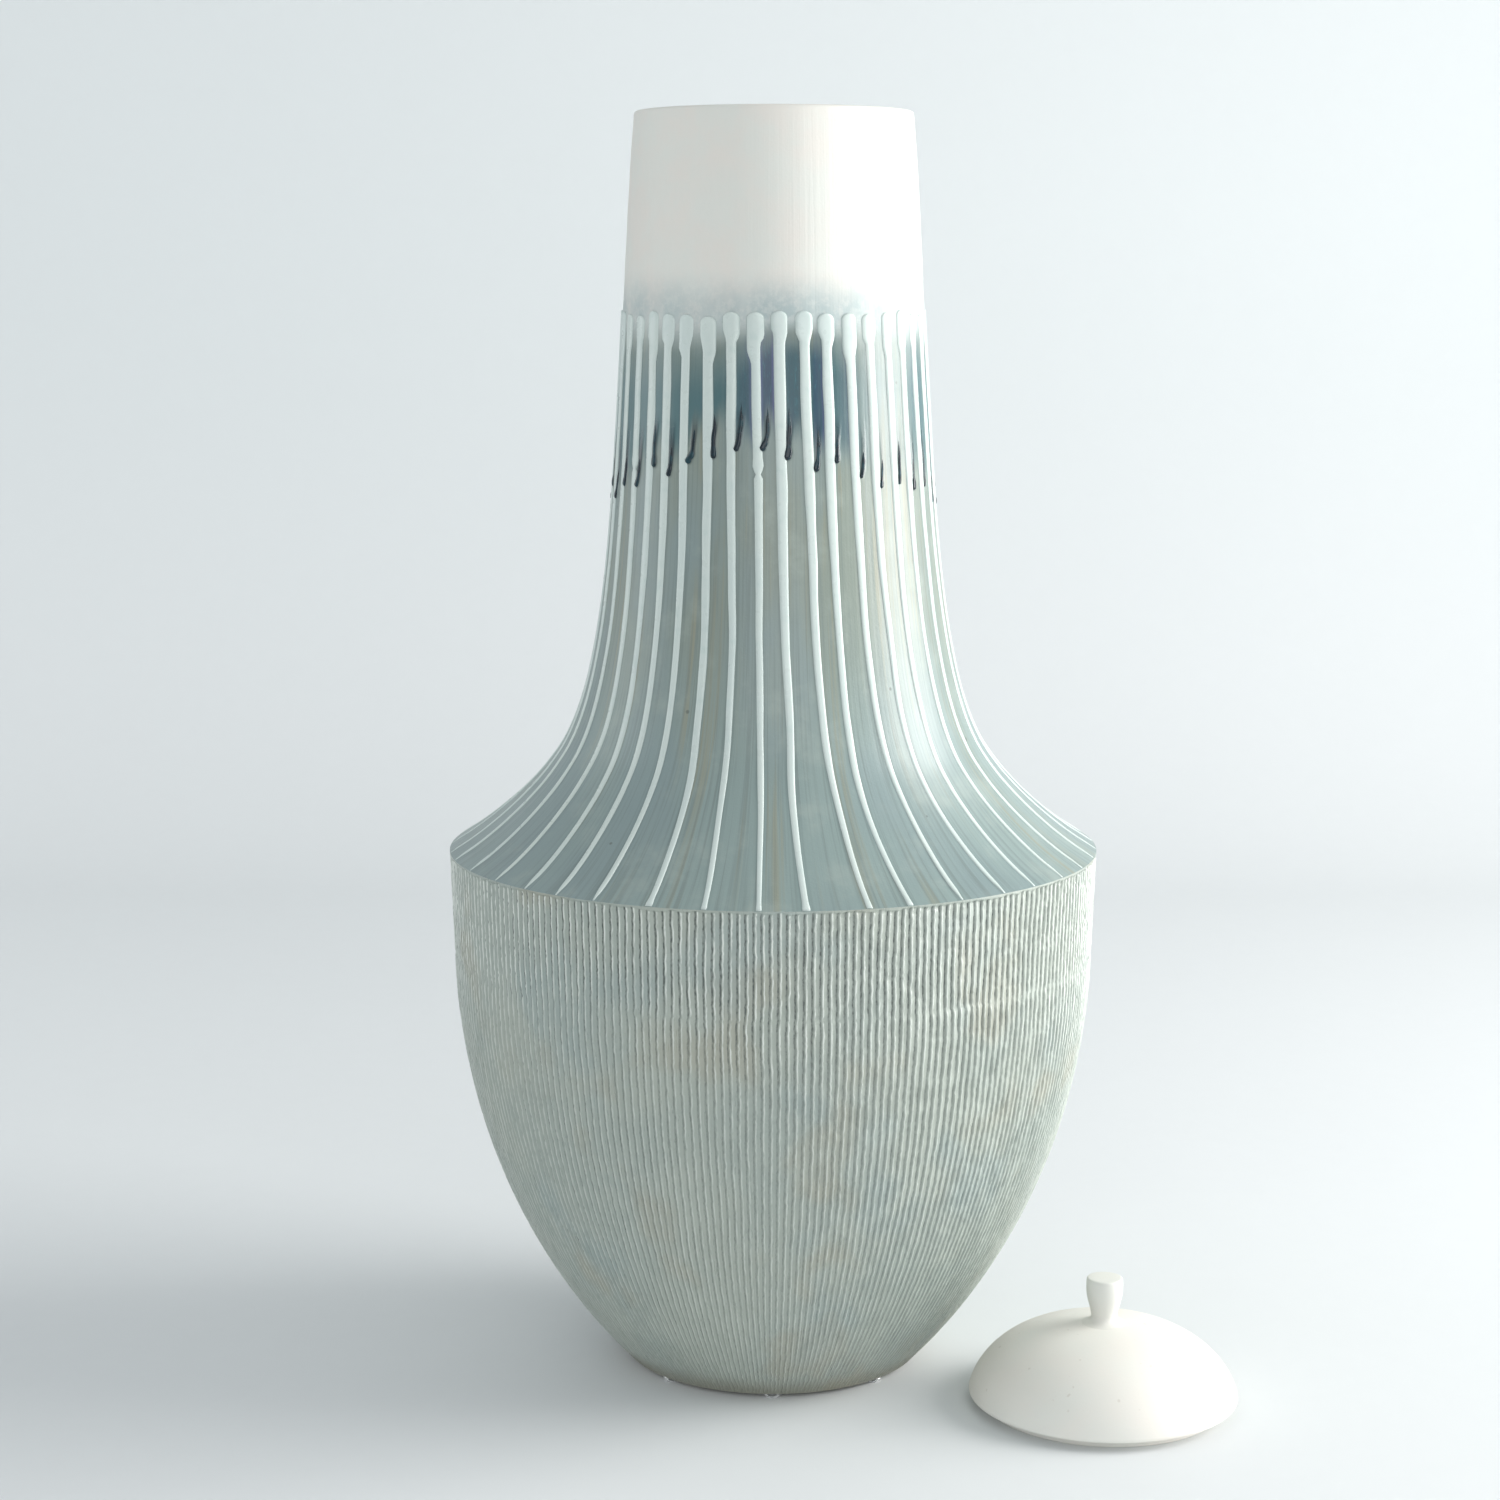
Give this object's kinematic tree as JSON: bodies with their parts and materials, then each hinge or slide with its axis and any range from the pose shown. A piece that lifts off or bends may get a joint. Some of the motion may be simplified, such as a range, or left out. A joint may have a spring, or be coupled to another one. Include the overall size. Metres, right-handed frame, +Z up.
{
  "type": "ginger jar",
  "caption": "Tall ceramic ginger jar with a combed belly, a smooth trailed neck and bumper pads, and its domed lid set down beside it, which lifts away by its knob.",
  "frame": {"origin": "where the jar's axis meets the surface that the jar and its lid stand on", "axes": "+Z up along the jar's axis; -Y is the side the reference view is taken from, and the lid stands at +X, -Y"},
  "size_m": [0.3806, 0.3162, 0.61],
  "materials": {
    "jar_body": "satin celadon glaze, combed on the belly, smooth above, bone at the collar",
    "slip_trail": "raised slip lines under a pale glossy glaze",
    "lid_dome": "matte bone glaze",
    "lid_knob": "matte bone glaze",
    "foot_pad": "clear soft bumper"
  },
  "bodies": {
    "jar": {"jar_body": "jar_body", "slip_trail_01": "slip_trail", "slip_trail_02": "slip_trail", "slip_trail_03": "slip_trail", "slip_trail_04": "slip_trail", "slip_trail_05": "slip_trail", "slip_trail_06": "slip_trail", "slip_trail_07": "slip_trail", "slip_trail_08": "slip_trail", "slip_trail_09": "slip_trail", "slip_trail_10": "slip_trail", "slip_trail_11": "slip_trail", "slip_trail_12": "slip_trail", "slip_trail_13": "slip_trail", "slip_trail_14": "slip_trail", "slip_trail_15": "slip_trail", "slip_trail_16": "slip_trail", "slip_trail_17": "slip_trail", "slip_trail_18": "slip_trail", "slip_trail_19": "slip_trail", "slip_trail_20": "slip_trail", "slip_trail_21": "slip_trail", "slip_trail_22": "slip_trail", "slip_trail_23": "slip_trail", "slip_trail_24": "slip_trail", "slip_trail_25": "slip_trail", "slip_trail_26": "slip_trail", "slip_trail_27": "slip_trail", "slip_trail_28": "slip_trail", "slip_trail_29": "slip_trail", "slip_trail_30": "slip_trail", "slip_trail_31": "slip_trail", "slip_trail_32": "slip_trail", "slip_trail_33": "slip_trail", "slip_trail_34": "slip_trail", "slip_trail_35": "slip_trail", "slip_trail_36": "slip_trail", "slip_trail_37": "slip_trail", "slip_trail_38": "slip_trail", "slip_trail_39": "slip_trail", "slip_trail_40": "slip_trail", "slip_trail_41": "slip_trail", "foot_pad_1": "foot_pad", "foot_pad_2": "foot_pad", "foot_pad_3": "foot_pad", "foot_pad_4": "foot_pad", "foot_pad_5": "foot_pad", "foot_pad_6": "foot_pad", "foot_pad_7": "foot_pad", "foot_pad_8": "foot_pad"},
    "lid": {"lid_dome": "lid_dome", "lid_knob": "lid_knob"}
  },
  "joints": [
    {"name": "lid_lift", "type": "slide", "parent": "jar", "child": "lid", "axis": [0.3493, -0.1671, 0.922], "range_m": [0, 0.68]}
  ]
}
